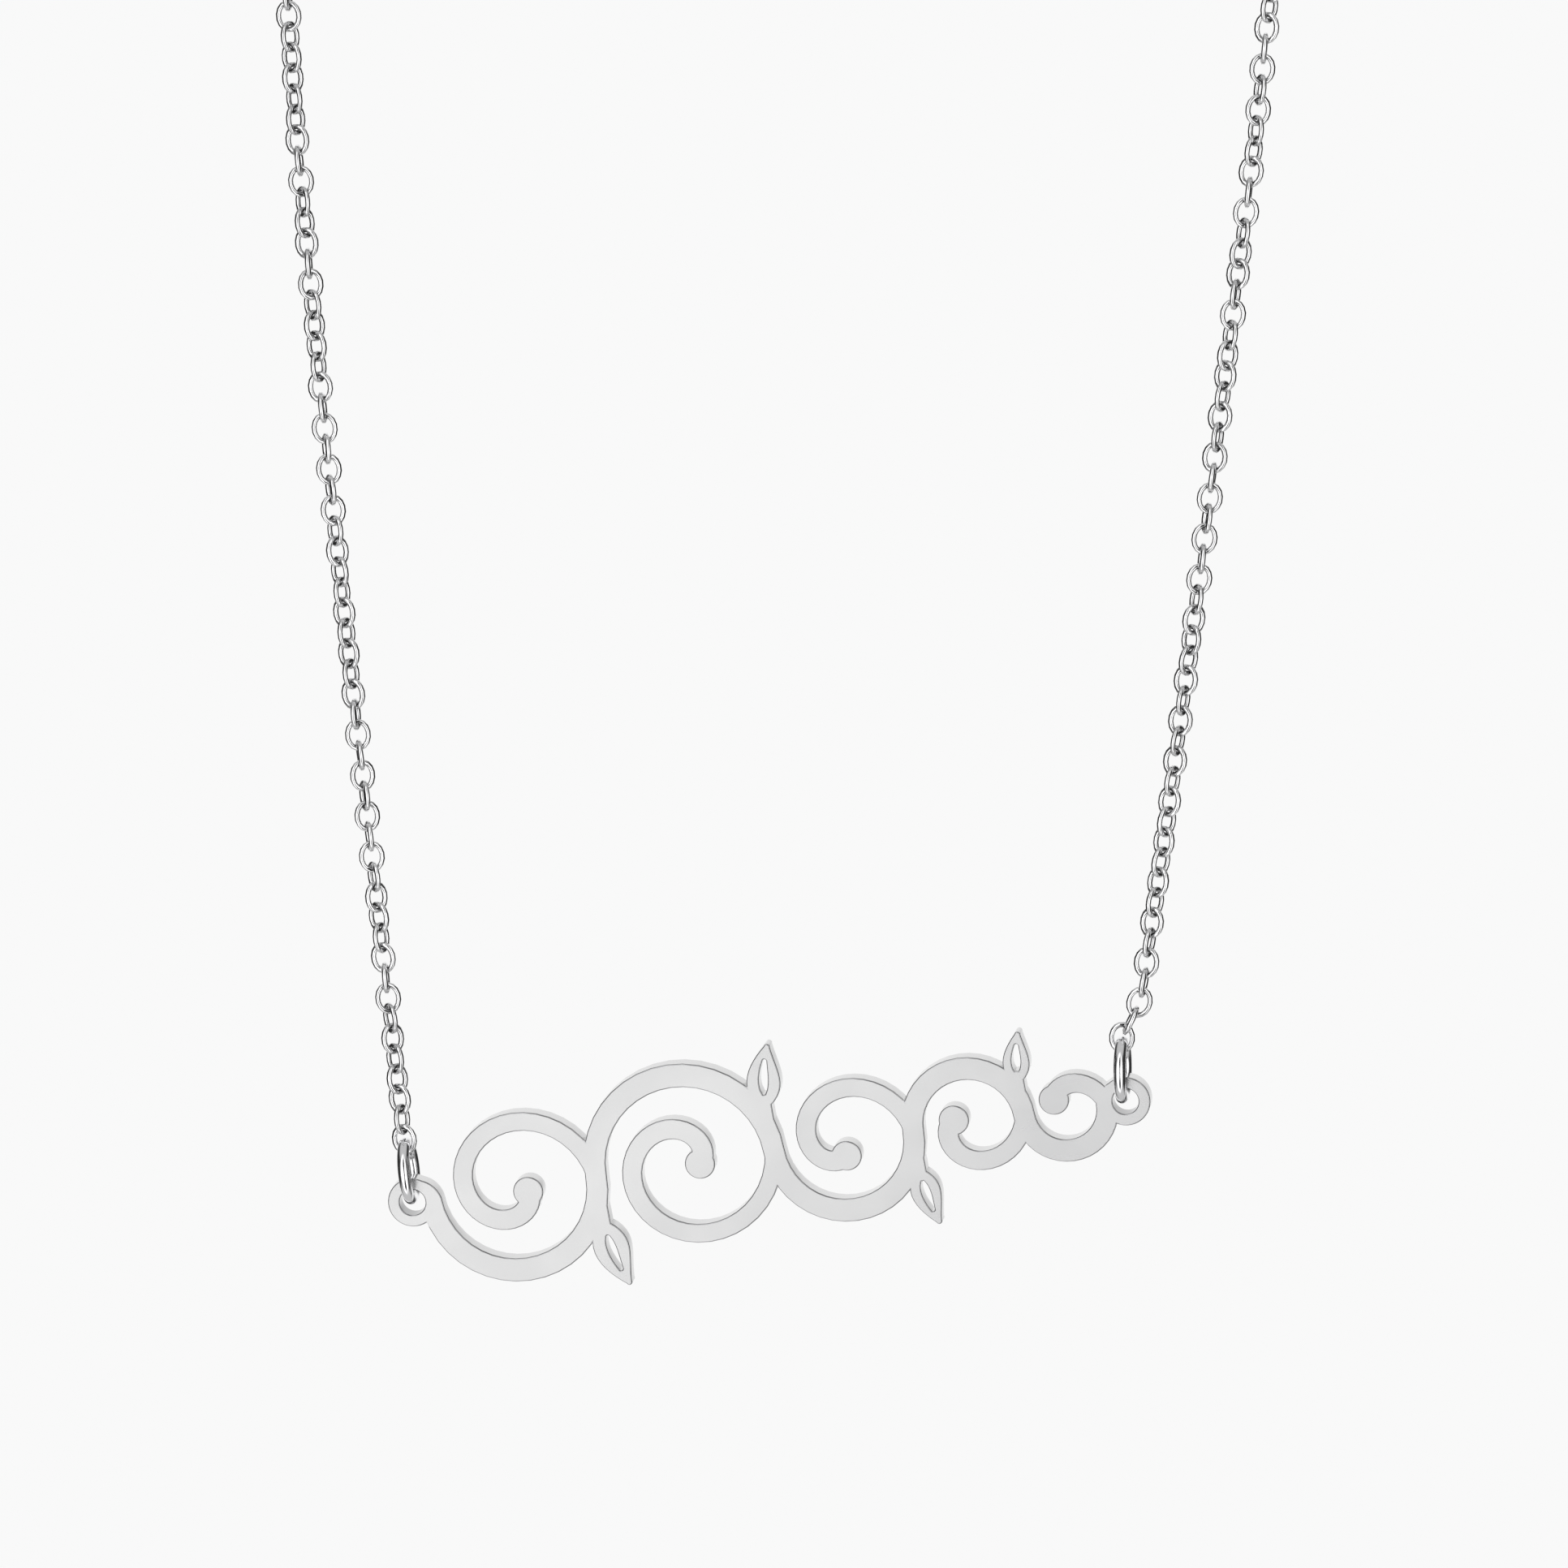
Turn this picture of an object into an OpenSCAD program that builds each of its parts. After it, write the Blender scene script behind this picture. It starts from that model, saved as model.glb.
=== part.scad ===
// Nameplate necklace, worn: a pierced leaf-scroll plate on two jump rings, a fine cable chain and a clasp.
// The origin is the middle of the neck at the height of the nape. +X is the viewer's right, +Y goes back, +Z up.

/* [Nameplate] */
// Distance between the centres of the two eyelet holes
hole_spacing = 36; // [32:0.5:40]
// Rise of the plate from its left eyelet to its right one, in degrees
plate_rise = 10.2; // [6:0.1:13]
// Thickness of the sheet
sheet_t = 1.0; // [0.8:0.05:1.2]
// Width of the drawn strokes
stroke_w = 1.08; // [0.9:0.02:1.3]
// Radius of an eyelet's hole
hole_r = 0.65; // [0.64:0.01:0.76]
// Width of the rim round an eyelet's hole
rim_w = 0.58; // [0.44:0.02:0.8]
// Open width between a tendril and the stroke outside it, half a turn in
tendril_gap = 0.75; // [0.6:0.05:1]
// Radius of the ball at a tendril's end
ball_r = 0.75; // [0.6:0.05:0.85]
// Length of the largest leaf
leaf_l = 3.3; // [2.6:0.1:3.8]
// Width of the largest leaf
leaf_w = 1.8; // [1.5:0.05:2.1]
// Width of the slot pierced through a leaf
slot_w = 0.45; // [0.3:0.05:0.6]

/* [Jump rings] */
// Outer diameter of a jump ring
ring_d = 3.4; // [3.3:0.1:4.2]
// Diameter of a jump ring's wire
ring_wire = 0.6; // [0.5:0.02:0.62]
// Lean of the left ring towards the viewer's left, in degrees
left_lean = 7.5; // [4:0.5:11]
// Lean of the right ring towards the viewer's left, in degrees
right_lean = 1.5; // [0:0.5:4]
// Gap between a ring and what hangs in it or on it
fit_gap = 0.12; // [0.1:0.01:0.15]

/* [Chain] */
// Width of the chain across its links
chain_w = 1.28; // [1:0.02:1.6]

/* [Clasp] */
// Outer diameter of the clasp's hoop
hoop_d = 5.6; // [5:0.1:7]
// Diameter of the hoop's wire
hoop_wire = 0.9; // [0.7:0.05:1.2]
// Outer diameter of the small eye on each side of the hoop
eye_d = 2; // [1.8:0.1:2.6]
// Diameter of an eye's wire
eye_wire = 0.45; // [0.35:0.05:0.6]
// Depth to which an eye is soldered into the hoop's wire
solder_in = 0.1; // [0.05:0.05:0.2]

/* [Hanging] */
// Drop from the nape to the middle of the plate
drop = 113.9; // [110:0.1:118]
// Distance from the middle of the neck forward to the plate
reach = 56; // [54:0.5:58]
// Shift of the plate's middle towards the viewer's right
plate_shift = 0.3; // [0:0.1:1]
// Distance from the middle of the neck back to the clasp
nape_y = 48; // [46:0.5:50]

/* [Hidden] */
round_fn = 48;
left = -1;
right = 1;

// Where the right strand bends first, measured from its end over the ring: it leaves the ring to the right
right_bends = [[0.88, 0.15, 1.7], [1.4, 0.5, 5.5]];
// Waypoints of the strands, both written as if on the right: each up the chest, and both alike round the neck.
// They are written for a drop of route_drop, and their heights follow the drop
route_drop = 113.9;
left_chest = [[20.3, -54.5, -94], [22, -53, -80], [23.6, -51, -66], [25.2, -48.5, -52]];
right_chest = [[20.15, -54.5, -94], [21.75, -53, -80], [23.25, -51, -66], [24.9, -48.5, -52]];
neck_route = [
    [29.5, -42.5, -39], [36, -32.5, -29], [42, -18.5, -20.5], [45, -2, -14], [44, 15, -8.5],
    [37.5, 31, -4], [25, 42.5, -1], [13, 47, 0]
];
chain_sides = 8;
chain_steps = 3;

// The scrolls of the plate from left to right: radius as a share of the largest one's
scroll_sizes = [0.93, 1, 0.78, 0.62, 0.46];
// The leaves between them: size as a share of the largest one's, and its bend to the right in degrees
leaf_table = [[1, 24], [0.94, 22], [0.84, 20], [0.74, 18]];
leaf_size = 0;
leaf_bend = 1;
leaf_tip = 0.3;
slot_tip = 0.2;
slot_from = 0.24;
slot_to = 0.76;
stroke_swell = 0.12;
tendril_start = 0.85;
notch_gap = 0.3;
arc_steps = 20;
spiral_step = 9;
leaf_steps = 12;
cap_steps = 6;

rim_r = hole_r + rim_w / 2;
// The eyelets and the scrolls stand in a row and touch, so the row's length gives the largest scroll's radius
scroll_r = (hole_spacing - 2 * rim_r) / 2 / total(scroll_sizes);
plate_place = [plate_shift, -reach, -drop];

wire_r = ring_wire / 2;
ring_r = ring_d / 2 - wire_r;
// How far the ring's wire climbs from the middle of the sheet to its faces
wire_climb = ring_r - sqrt(ring_r * ring_r - sheet_t * sheet_t / 4);
// Height of the wire's lowest point over the hole's centre
wire_seat = hole_r - wire_r - wire_climb - fit_gap;
// How far off its hole's centre a leaning ring's wire stands once the plate has swung level, as a share of its lean
level_share = 0.35;

hoop_r = (hoop_d - hoop_wire) / 2;
eye_r = (eye_d - eye_wire) / 2;
eye_x = hoop_r + eye_r - solder_in;

function total(list, i = 0) = i == len(list) ? 0 : list[i] + total(list, i + 1);
function radius_of(i) = scroll_r * scroll_sizes[i];
// Where scroll i touches the scroll or eyelet on its left
function touch(i) = i == 0 ? -hole_spacing / 2 + rim_r : touch(i - 1) + 2 * radius_of(i - 1);
function centre_of(i) = [touch(i) + radius_of(i), 0];
// +1 where the stem passes under scroll i, -1 where it passes over it
function under(i) = i % 2 == 0 ? 1 : -1;
function around(centre, r, a) = centre + r * [cos(a), sin(a)];

// The direction of a list of points at each of them
function directions(pts) = [
    for (i = [0 : len(pts) - 1])
        let (along = pts[min(i + 1, len(pts) - 1)] - pts[max(i - 1, 0)]) along / norm(along)
];

// The outline of a stroke with round ends, from points along its middle and its width at each of them
function stroke_outline(pts, widths) =
    let (
        last = len(pts) - 1,
        ways = directions(pts),
        sides = [for (way = ways) [-way.y, way.x]]
    )
    concat(
        [for (i = [0 : last]) pts[i] + widths[i] / 2 * sides[i]],
        round_end(pts[last], widths[last] / 2, atan2(ways[last].y, ways[last].x)),
        [for (i = [last : -1 : 0]) pts[i] - widths[i] / 2 * sides[i]],
        round_end(pts[0], widths[0] / 2, atan2(-ways[0].y, -ways[0].x))
    );
function round_end(centre, r, facing) = [
    for (k = [1 : cap_steps - 1]) around(centre, r, facing + 90 - 180 * k / cap_steps)
];

// Points along a rib that starts at a foot and bends evenly by an angle, from one share of its length to another
function rib(foot, length, bend, from, to) =
    let (r = length / (bend * PI / 180))
    [
        for (k = [0 : leaf_steps])
            let (a = bend * (from + (to - from) * k / leaf_steps)) [foot + r * sin(a), r * (1 - cos(a))]
    ];
// Widths along a blade: the tip's at both ends, and the full one a little nearer to its foot
function blade(tip, widest) = [
    for (k = [0 : leaf_steps]) tip + (widest - tip) * sin(180 * pow(k / leaf_steps, 0.75))
];

// A shape cut out of the sheet
module cut() {
    linear_extrude(height = sheet_t, center = true) children();
}

// The wave from the left eyelet to the right one, a half circle round each scroll
module stem() {
    eyelet = [hole_spacing / 2, 0];
    thin = rim_w / 2;
    ends = arc_steps / 2;
    middle = concat(
        [for (k = [0 : ends - 1]) around(-eyelet, rim_r, 90 - 90 * k / ends)],
        [
            for (i = [0 : len(scroll_sizes) - 1], k = [0 : arc_steps - 1])
                around(centre_of(i), radius_of(i), under(i) * (180 + 180 * k / arc_steps))
        ],
        [for (k = [0 : ends]) around(eyelet, rim_r, 180 - 90 * k / ends)]
    );
    widths = concat(
        [for (k = [0 : ends - 1]) thin + (stroke_w - thin) * k / ends],
        [
            for (i = [0 : len(scroll_sizes) - 1], k = [0 : arc_steps - 1])
                stroke_w + stroke_swell * scroll_sizes[i] * sin(180 * k / arc_steps)
        ],
        [for (k = [0 : ends]) stroke_w - (stroke_w - thin) * k / ends]
    );
    cut() polygon(stroke_outline(middle, widths));
}

// The curl that leaves the stem where scroll i ends and winds in to a ball
module tendril(i) {
    turn = 180 * (radius_of(i) - ball_r) / (stroke_w + tendril_gap);
    count = ceil(turn / spiral_step);
    middle = [
        for (k = [0 : count])
            around(centre_of(i), radius_of(i) + (ball_r - radius_of(i)) * k / count, under(i) * turn * k / count)
    ];
    widths = [for (k = [0 : count]) stroke_w * (tendril_start + (1 - tendril_start) * k / count)];
    cut() polygon(stroke_outline(middle, widths));
    cut() translate(middle[count]) circle(r = ball_r, $fn = round_fn);
}

// The pierced leaf that grows out of the notch between scroll i and the next one
module leaf(i) {
    size = leaf_table[i][leaf_size];
    bend = leaf_table[i][leaf_bend] * under(i);
    mean_r = (radius_of(i) + radius_of(i + 1)) / 2;
    notch = stroke_w + notch_gap;
    foot = sqrt(mean_r * notch - notch * notch / 4);
    length = leaf_l * size;
    translate([touch(i + 1), 0]) rotate(-90 * under(i)) {
        cut() polygon(stroke_outline([[0, 0], [foot + leaf_tip, 0]], [2 * leaf_tip, 2 * leaf_tip]));
        cut() difference() {
            polygon(stroke_outline(rib(foot, length, bend, 0, 1), blade(leaf_tip, leaf_w * size)));
            polygon(stroke_outline(rib(foot, length, bend, slot_from, slot_to), blade(slot_tip, slot_w)));
        }
    }
}

module nameplate() {
    color("gainsboro") translate(plate_place) rotate([0, -plate_rise, 0]) rotate([90, 0, 0])
        difference() {
            union() {
                stem();
                for (i = [0 : len(scroll_sizes) - 1]) tendril(i);
                for (i = [0 : len(leaf_table) - 1]) leaf(i);
                for (side = [left, right])
                    cut() translate([side * hole_spacing / 2, 0]) circle(r = hole_r + rim_w, $fn = round_fn);
            }
            for (side = [left, right])
                translate([side * hole_spacing / 2, 0, 0])
                    cylinder(h = 2 * sheet_t, r = hole_r, center = true, $fn = round_fn);
        }
}

function lean_of(side) = side == left ? left_lean : right_lean;
// The way a ring points up, from its seat in the plate to the chain
function ring_up(side) = [-sin(lean_of(side)), 0, cos(lean_of(side))];
// A ring that leans against the plate crosses its hole off centre, more so at rest than with the plate level
function ring_centre(side) =
    let (
        off = plate_rise - lean_of(side),
        u = side * hole_spacing / 2 + level_share * ring_r * sin(off),
        v = wire_seat + ring_r * cos(off)
    )
    plate_place + [u * cos(plate_rise) - v * sin(plate_rise), 0, u * sin(plate_rise) + v * cos(plate_rise)];

module wire_hoop(mid_r, wire) {
    rotate_extrude($fn = round_fn) translate([mid_r, 0]) circle(d = wire, $fn = round_fn);
}

module jump_ring(side) {
    color("silver") translate(ring_centre(side)) rotate([0, -lean_of(side), 0]) rotate([0, 90, 0])
        wire_hoop(ring_r, ring_wire);
}

// The smooth curve through a list of points, with a number of steps from each point to the next
function curve(pts, steps) = concat(
    [for (i = [0 : len(pts) - 2], k = [0 : steps - 1]) curve_point(pts, i, k / steps)],
    [pts[len(pts) - 1]]
);
function curve_point(pts, i, t) =
    let (before = pts[max(i - 1, 0)], from = pts[i], to = pts[i + 1], after = pts[min(i + 2, len(pts) - 1)])
    (2 * from + (to - before) * t + (2 * before - 5 * from + 4 * to - after) * t * t
        + (3 * from - before - 3 * to + after) * t * t * t) / 2;

// A unit vector square to each direction along a curve, carried from one to the next without twisting
function carried(ways, first, i = 0) =
    i == len(ways) ? [] :
    let (flat = first - (first * ways[i]) * ways[i], unit = flat / norm(flat))
    concat([unit], carried(ways, unit, i + 1));

// One strand from its jump ring round the neck to its eye on the clasp
function strand(side) =
    let (
        first = ring_centre(side) + (ring_d / 2 + fit_gap) * ring_up(side),
        bends = side == right ? right_bends : [],
        chest = side == right ? right_chest : left_chest
    )
    concat(
        [first],
        [for (bend = bends) first + bend],
        [for (p = concat(chest, neck_route)) [side * p.x, p.y, p.z * drop / route_drop]],
        [[side * (eye_x + eye_d / 2 + fit_gap), nape_y, 0]]
    );

module chain(side) {
    middle = curve(strand(side), chain_steps);
    along = directions(middle);
    // The strand's lower end is square to its ring
    ways = concat([ring_up(side)], [for (i = [1 : len(along) - 1]) along[i]]);
    outs = carried(ways, [side, 0, 0]);
    rings = len(middle);
    points = [
        for (i = [0 : rings - 1], k = [0 : chain_sides - 1])
            let (a = 360 * k / chain_sides)
                middle[i] + chain_w / 2 * (cos(a) * outs[i] + sin(a) * cross(ways[i], outs[i]))
    ];
    walls = [
        for (i = [0 : rings - 2], k = [0 : chain_sides - 1])
            let (here = i * chain_sides, next = here + chain_sides, beside = (k + 1) % chain_sides)
                [here + k, next + k, next + beside, here + beside]
    ];
    caps = [
        [for (k = [0 : chain_sides - 1]) k],
        [for (k = [chain_sides - 1 : -1 : 0]) (rings - 1) * chain_sides + k]
    ];
    color("silver") polyhedron(points = points, faces = concat(walls, caps));
}

module clasp() {
    color("silver") translate([0, nape_y, 0]) rotate([90, 0, 0]) {
        wire_hoop(hoop_r, hoop_wire);
        for (side = [left, right])
            translate([side * eye_x, 0]) wire_hoop(eye_r, eye_wire);
    }
}

nameplate();
jump_ring(left);  // jump_ring_left
jump_ring(right);  // jump_ring_right
chain(left);  // chain_left
chain(right);  // chain_right
clasp();
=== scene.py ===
"""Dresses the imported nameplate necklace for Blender's render.

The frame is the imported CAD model: +X is the viewer's right, +Y goes back to the nape and +Z up, in metres.
Pieces are modelled in millimetres, because Blender's tools have coarse least lengths, and are then brought
down to metres with their place kept in their mesh. Angles in the classes' fields are in degrees.
"""

import logging
import math
from dataclasses import dataclass
from enum import Enum
from typing import ClassVar

import bpy
from mathutils import Matrix, Vector


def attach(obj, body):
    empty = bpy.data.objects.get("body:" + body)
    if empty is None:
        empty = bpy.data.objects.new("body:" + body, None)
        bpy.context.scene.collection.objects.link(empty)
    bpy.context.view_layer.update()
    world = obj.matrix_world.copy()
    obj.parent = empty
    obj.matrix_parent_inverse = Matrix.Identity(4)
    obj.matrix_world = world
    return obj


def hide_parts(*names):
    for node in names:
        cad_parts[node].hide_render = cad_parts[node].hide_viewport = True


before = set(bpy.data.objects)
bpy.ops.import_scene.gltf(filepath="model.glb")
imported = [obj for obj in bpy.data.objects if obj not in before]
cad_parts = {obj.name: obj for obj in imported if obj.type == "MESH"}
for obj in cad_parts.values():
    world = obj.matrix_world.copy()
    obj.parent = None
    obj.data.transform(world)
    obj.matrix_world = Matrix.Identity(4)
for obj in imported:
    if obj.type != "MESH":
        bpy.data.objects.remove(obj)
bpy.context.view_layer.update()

MM = 0.001
UP = Vector((0.0, 0.0, 1.0))
BACK = Vector((0.0, 1.0, 0.0))
WHITE = (1.0, 1.0, 1.0, 1.0)
Colour = tuple[float, float, float]
log = logging.getLogger("necklace")


class Side(Enum):
    """The two ends of the plate, as the viewer sees them."""

    LEFT = -1
    RIGHT = 1

    @property
    def word(self) -> str:
        """The side's name in the names of its pieces."""
        return self.name.lower()


class Body(Enum):
    """The CAD bodies that pieces ride on."""

    NECKLACE = "necklace"
    PLATE = "plate"


class Slot(Enum):
    """The record's material slots."""

    PLATE = "plate_silver"
    RING = "ring_silver"
    CHAIN = "chain_silver"


# Object tools


def only(obj: bpy.types.Object) -> None:
    """Selects one object alone and makes it active.

    Args:
        obj: the object that the next operators act on.
    """
    bpy.ops.object.select_all(action="DESELECT")
    obj.select_set(True)
    bpy.context.view_layer.objects.active = obj


def newest(name: str) -> bpy.types.Object:
    """Names the object that was just added or joined.

    Args:
        name: the object's and its mesh's name.

    Returns:
        The active object.
    """
    obj = bpy.context.active_object
    obj.name = obj.data.name = name
    return obj


def join(objects: list[bpy.types.Object], name: str) -> bpy.types.Object:
    """Joins objects into one.

    Args:
        objects: the objects, of which the first takes in the others.
        name: the joined object's and its mesh's name.

    Returns:
        The joined object.
    """
    bpy.ops.object.select_all(action="DESELECT")
    for obj in objects:
        obj.select_set(True)
    bpy.context.view_layer.objects.active = objects[0]
    bpy.ops.object.join()
    return newest(name)


def edit(obj: bpy.types.Object, mode: str = "VERT") -> None:
    """Enters edit mode on one object with nothing selected.

    Args:
        obj: the object to edit.
        mode: VERT, EDGE or FACE.
    """
    only(obj)
    bpy.ops.object.mode_set(mode="EDIT")
    bpy.ops.mesh.select_mode(type=mode)
    bpy.ops.mesh.select_all(action="DESELECT")


def leave_edit() -> None:
    """Goes back to object mode."""
    bpy.ops.object.mode_set(mode="OBJECT")


def pick(obj: bpy.types.Object, kind: str, wanted: set[int]) -> None:
    """Selects some of a mesh's elements by their index, between two visits to edit mode.

    Args:
        obj: the object being edited.
        kind: vertices, edges or polygons.
        wanted: the indices to select.
    """
    leave_edit()
    for elements in (obj.data.polygons, obj.data.edges, obj.data.vertices):
        elements.foreach_set("select", [False] * len(elements))
    for index in wanted:
        getattr(obj.data, kind)[index].select = True
    bpy.ops.object.mode_set(mode="EDIT")


def face_outwards(obj: bpy.types.Object, merge: float = 1e-4) -> None:
    """Merges doubles and turns all faces outwards.

    Args:
        obj: a closed mesh.
        merge: the distance within which points are one, in the mesh's units.
    """
    edit(obj)
    bpy.ops.mesh.select_all(action="SELECT")
    bpy.ops.mesh.remove_doubles(threshold=merge)
    bpy.ops.mesh.normals_make_consistent(inside=False)
    leave_edit()


def settle(obj: bpy.types.Object, place: Matrix | None = None) -> None:
    """Puts a piece that was modelled in millimetres in its place in metres, with its object at the origin.

    Args:
        obj: the piece.
        place: its turn and place in millimetres, or nothing if its mesh already stands there.
    """
    obj.data.transform(Matrix.Scale(MM, 4) @ (place or Matrix.Identity(4)) @ obj.matrix_world)
    obj.matrix_world = Matrix.Identity(4)


def seat(obj: bpy.types.Object, body: Body, slot: Slot, *nodes: str) -> None:
    """Makes a finished piece ride on its body in place of its CAD nodes, and logs it.

    Args:
        obj: the piece.
        body: the body it moves with.
        slot: the record's slot for the piece's finish; not used.
        nodes: the CAD nodes that it stands for.
    """
    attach(obj, body.value)
    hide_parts(*nodes)
    log.info("%s: %d faces, rides on %s", obj.name, len(obj.data.polygons), body.value)


# Shader tools


class Graph:
    """A node tree that is written line by line, each line a node with its inputs."""

    def __init__(self, tree: bpy.types.NodeTree) -> None:
        """Keeps the tree that the nodes go into."""
        self.tree = tree

    def add(self, kind: str, inputs: dict | None = None, **settings: object) -> bpy.types.Node:
        """Adds a node.

        Args:
            kind: the node's type, without its ShaderNode prefix if it has one.
            inputs: a value or an output socket for each input, by the input's name or number.
            settings: the node's own settings.

        Returns:
            The node.
        """
        node = self.tree.nodes.new(kind if kind.startswith("NodeGroup") else "ShaderNode" + kind)
        for name, value in settings.items():
            setattr(node, name, value)
        for name, value in (inputs or {}).items():
            if isinstance(value, bpy.types.NodeSocket):
                self.tree.links.new(value, node.inputs[name])
            else:
                node.inputs[name].default_value = value
        return node

    def math(self, operation: str, *values: object) -> bpy.types.NodeSocket:
        """Adds a Math node on numbers or sockets and returns its output."""
        return self.add("Math", dict(enumerate(values)), operation=operation).outputs[0]

    def dot(self, vector: bpy.types.NodeSocket, along: Vector) -> bpy.types.NodeSocket:
        """Returns how far a vector reaches along a fixed direction."""
        return self.add("VectorMath", {0: vector, 1: along}, operation="DOT_PRODUCT").outputs["Value"]

    def remap(
        self, value: object, low: float, high: float, to_low: float = 0.0, to_high: float = 1.0
    ) -> bpy.types.NodeSocket:
        """Returns a value eased from one range to another, and held at its ends."""
        inputs = {"Value": value, "From Min": low, "From Max": high, "To Min": to_low, "To Max": to_high}
        return self.add("MapRange", inputs, interpolation_type="SMOOTHSTEP").outputs["Result"]

    def noise(self, where: bpy.types.NodeSocket, scale: float, detail: float = 2.0) -> bpy.types.NodeSocket:
        """Returns a noise value around one half at a place."""
        return self.add("TexNoise", {"Vector": where, "Scale": scale, "Detail": detail}).outputs["Fac"]

    def ramp(
        self, value: bpy.types.NodeSocket, stops: tuple[tuple[float, float], ...]
    ) -> bpy.types.NodeSocket:
        """Adds a ramp of greys.

        Args:
            value: where the grey is read, from 0 to 1.
            stops: the ramp's places and the tone at each.

        Returns:
            The grey at the value.
        """
        node = self.add("ValToRGB", {0: value})
        elements = node.color_ramp.elements
        elements.remove(elements[1])
        for number, (place, tone) in enumerate(stops):
            element = elements[0] if number == 0 else elements.new(place)
            element.position = place
            element.color = (tone, tone, tone, 1.0)
        return node.outputs["Color"]

    def blend(self, value: bpy.types.NodeSocket, first: Colour, second: Colour) -> bpy.types.NodeSocket:
        """Returns a colour between two colours, the first at a value of 0 and the second at 1."""
        mix = self.add("Mix", {"Factor": value, 6: (*first, 1.0), 7: (*second, 1.0)}, data_type="RGBA")
        return mix.outputs[2]


def new_group(
    name: str, takes: dict[str, float], gives: dict[str, str]
) -> tuple[Graph, bpy.types.Node, bpy.types.Node]:
    """Starts a shader node group.

    Args:
        name: the group's name.
        takes: its number inputs with their usual values.
        gives: its outputs and their socket types.

    Returns:
        The graph, its input node and its output node.
    """
    tree = bpy.data.node_groups.new(name, "ShaderNodeTree")
    for label, usual in takes.items():
        socket = tree.interface.new_socket(label, in_out="INPUT", socket_type="NodeSocketFloat")
        socket.default_value = usual
    for label, kind in gives.items():
        tree.interface.new_socket(label, in_out="OUTPUT", socket_type=kind)
    return Graph(tree), tree.nodes.new("NodeGroupInput"), tree.nodes.new("NodeGroupOutput")


@dataclass(frozen=True)
class PolishMarks:
    """The marks that polishing leaves in silver: fine lines one way, soft haze and stray scratches."""

    name: str = "polish_marks"
    detail: float = 3.0
    line_span: tuple[float, float] = (0.32, 0.68)
    haze_span: tuple[float, float] = (0.3, 0.7)
    scratch_width: float = 0.02
    scratch_patches: float = 330.0
    patch_span: tuple[float, float] = (0.56, 0.66)

    def group(self) -> bpy.types.NodeTree:
        """Builds the group once.

        Returns:
            A group that gives a mask of lines and a mask of haze, from 0 to 1, and the height of the marks.
        """
        made = bpy.data.node_groups.get(self.name)
        if made:
            return made
        takes = {
            "Line Scale": 900.0,
            "Line Stretch": 0.06,
            "Haze Scale": 260.0,
            "Scratch Scale": 420.0,
            "Turn": 0.0,
        }
        gives = {"Lines": "NodeSocketFloat", "Haze": "NodeSocketFloat", "Height": "NodeSocketFloat"}
        g, source, sink = new_group(self.name, takes, gives)
        place = g.add("TexCoord").outputs["Object"]
        tilt = g.add("CombineXYZ", {"Y": source.outputs["Turn"]}).outputs[0]
        turned = g.add("Mapping", {"Vector": place, "Rotation": tilt}, vector_type="TEXTURE").outputs[0]
        stretch = g.add("CombineXYZ", {"X": source.outputs["Line Stretch"], "Y": 1.0, "Z": 1.0}).outputs[0]
        drawn = g.add("VectorMath", {0: turned, 1: stretch}, operation="MULTIPLY").outputs[0]
        lines = g.remap(g.noise(drawn, source.outputs["Line Scale"], self.detail), *self.line_span)
        haze = g.remap(g.noise(turned, source.outputs["Haze Scale"], self.detail), *self.haze_span)
        scratches = {"Vector": drawn, "Scale": source.outputs["Scratch Scale"]}
        cells = g.add("TexVoronoi", scratches, feature="DISTANCE_TO_EDGE")
        hair = g.remap(cells.outputs["Distance"], 0.0, self.scratch_width, 1.0, 0.0)
        seen = g.math("MULTIPLY", hair, g.remap(g.noise(turned, self.scratch_patches), *self.patch_span))
        height = g.math("SUBTRACT", lines, seen)
        for label, value in (("Lines", lines), ("Haze", haze), ("Height", height)):
            g.tree.links.new(value, sink.inputs[label])
        return g.tree


@dataclass(frozen=True)
class Tarnish:
    """Uneven dark patches that silver gathers with age, and painted shade where a mask marks places that
    touch.
    """

    name: str = "tarnish"
    darkening_span: tuple[float, float] = (0.05, 0.95)

    def group(self) -> bpy.types.NodeTree:
        """Builds the group once.

        Returns:
            A group that turns a mask of painted shade and wear into an uneven darkening from 0 to 1.
        """
        made = bpy.data.node_groups.get(self.name)
        if made:
            return made
        takes = {"Shelter": 0.0, "Spread": 0.35, "Patch Scale": 700.0}
        g, source, sink = new_group(self.name, takes, {"Darkening": "NodeSocketFloat"})
        patches = g.noise(g.add("TexCoord").outputs["Object"], source.outputs["Patch Scale"])
        off_middle = g.math("SUBTRACT", patches, 0.5)
        uneven = g.math("MULTIPLY_ADD", off_middle, source.outputs["Spread"], source.outputs["Shelter"])
        g.tree.links.new(g.remap(uneven, *self.darkening_span), sink.inputs["Darkening"])
        return g.tree


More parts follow.
